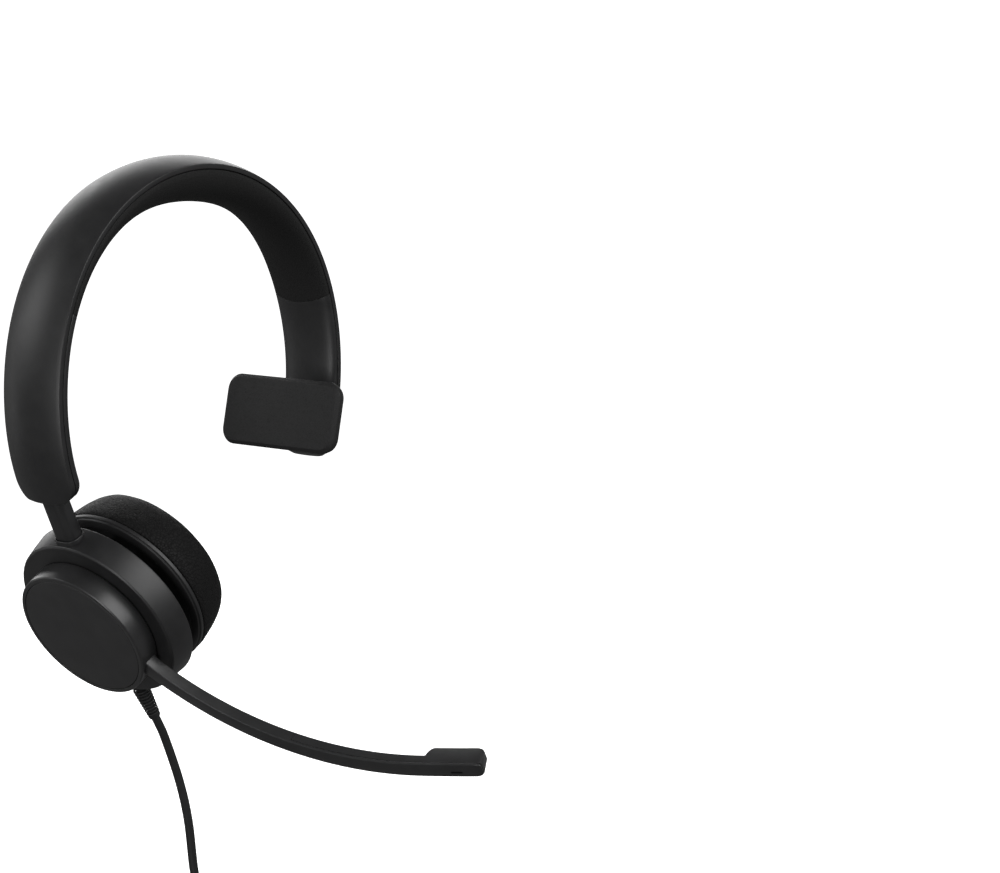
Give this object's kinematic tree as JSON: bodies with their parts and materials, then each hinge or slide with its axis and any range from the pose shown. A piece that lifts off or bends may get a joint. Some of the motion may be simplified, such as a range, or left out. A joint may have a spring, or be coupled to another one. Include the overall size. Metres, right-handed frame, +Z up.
{
  "type": "office headset",
  "caption": "Wired one-ear office headset: padded headband, sliding round ear cup, swinging microphone boom, temple pad and USB cord with a tied coil.",
  "frame": {"origin": "crown contact: the lowest line of the crown pad on the band middle plane, where the headset rests on the head", "axes": "+Z up out of the head, -Y forward towards the mouth, +X towards the temple pad, -X towards the ear cup"},
  "size_m": [0.1598, 0.1831, 0.4138],
  "materials": {
    "black_plastic": "satin",
    "hub_plastic": "satin",
    "inner_plastic": "matte",
    "leatherette": "fine grain",
    "spring_steel": "brushed",
    "pin_steel": "plain",
    "circuit_board": "solder mask",
    "scrim": "knitted",
    "cord_jacket": "satin"
  },
  "bodies": {
    "headband": {"headband_shell": "black_plastic", "left_leg_cover": "black_plastic", "right_leg_cover": "black_plastic", "crown_pad": "leatherette", "pad_carrier": "inner_plastic", "spring_band": "spring_steel", "band_screw_left": "pin_steel", "band_screw_right": "pin_steel", "slider_guide": "inner_plastic", "detent_leaf": "spring_steel", "temple_post": "black_plastic", "temple_screw": "pin_steel"},
    "earpiece": {"slider_arm": "black_plastic", "slider_stop_pin": "pin_steel", "cup_housing": "black_plastic", "housing_back_plate": "inner_plastic", "back_screw_top": "pin_steel", "back_screw_front": "pin_steel", "back_screw_rear": "pin_steel", "circuit_board": "circuit_board", "cable_clamp": "inner_plastic", "cable_gland": "black_plastic", "plate_pin_front": "pin_steel", "plate_pin_rear": "pin_steel", "friction_washer": "spring_steel", "cord_tube": "cord_jacket", "cord_coil": "cord_jacket", "cord_tail": "cord_jacket", "cable_tie": "black_plastic", "plug_overmould": "black_plastic", "plug_shell": "spring_steel", "plug_tongue": "inner_plastic"},
    "boom": {"boom_hub": "hub_plastic", "hub_cap": "hub_plastic", "hub_retainer": "inner_plastic", "retainer_screw_top": "pin_steel", "retainer_screw_rear": "pin_steel", "retainer_screw_front": "pin_steel", "boom_cover": "hub_plastic", "mic_boot": "cord_jacket", "mic_capsule": "pin_steel", "mic_mesh": "spring_steel"},
    "gimbal": {"gimbal_ring": "inner_plastic"},
    "ear_cup": {"cup_baffle": "black_plastic", "cup_pin_upper": "pin_steel", "cup_pin_lower": "pin_steel", "speaker_magnet": "spring_steel", "speaker_basket": "spring_steel", "speaker_diaphragm": "inner_plastic", "speaker_grille": "inner_plastic", "scrim_cloth": "scrim", "cushion_ring": "inner_plastic", "ear_cushion": "leatherette"},
    "temple_pad": {"temple_plate": "black_plastic", "temple_pin": "pin_steel", "temple_pad": "leatherette"}
  },
  "joints": [
    {"name": "slider", "type": "slide", "parent": "headband", "child": "earpiece", "axis": [0.1973, 0, -0.9803], "range_m": [0, 0.026]},
    {"name": "boom_swing", "type": "hinge", "parent": "earpiece", "child": "boom", "pos_m": [-0.05279, 0, -0.15588], "axis": [-0.8536, 0, -0.521], "range_deg": [-25, 267]},
    {"name": "cup_nod", "type": "hinge", "parent": "earpiece", "child": "gimbal", "pos_m": [-0.03264, 0, -0.14358], "axis": [0, -1, 0], "range_deg": [-6, 6]},
    {"name": "cup_turn", "type": "hinge", "parent": "gimbal", "child": "ear_cup", "pos_m": [-0.03264, 0, -0.14358], "axis": [-0.521, 0, 0.8536], "range_deg": [-6, 6]},
    {"name": "temple_tilt", "type": "hinge", "parent": "headband", "child": "temple_pad", "pos_m": [0.06351, 0, -0.08283], "axis": [0, 1, 0], "range_deg": [-12, 12]}
  ]
}
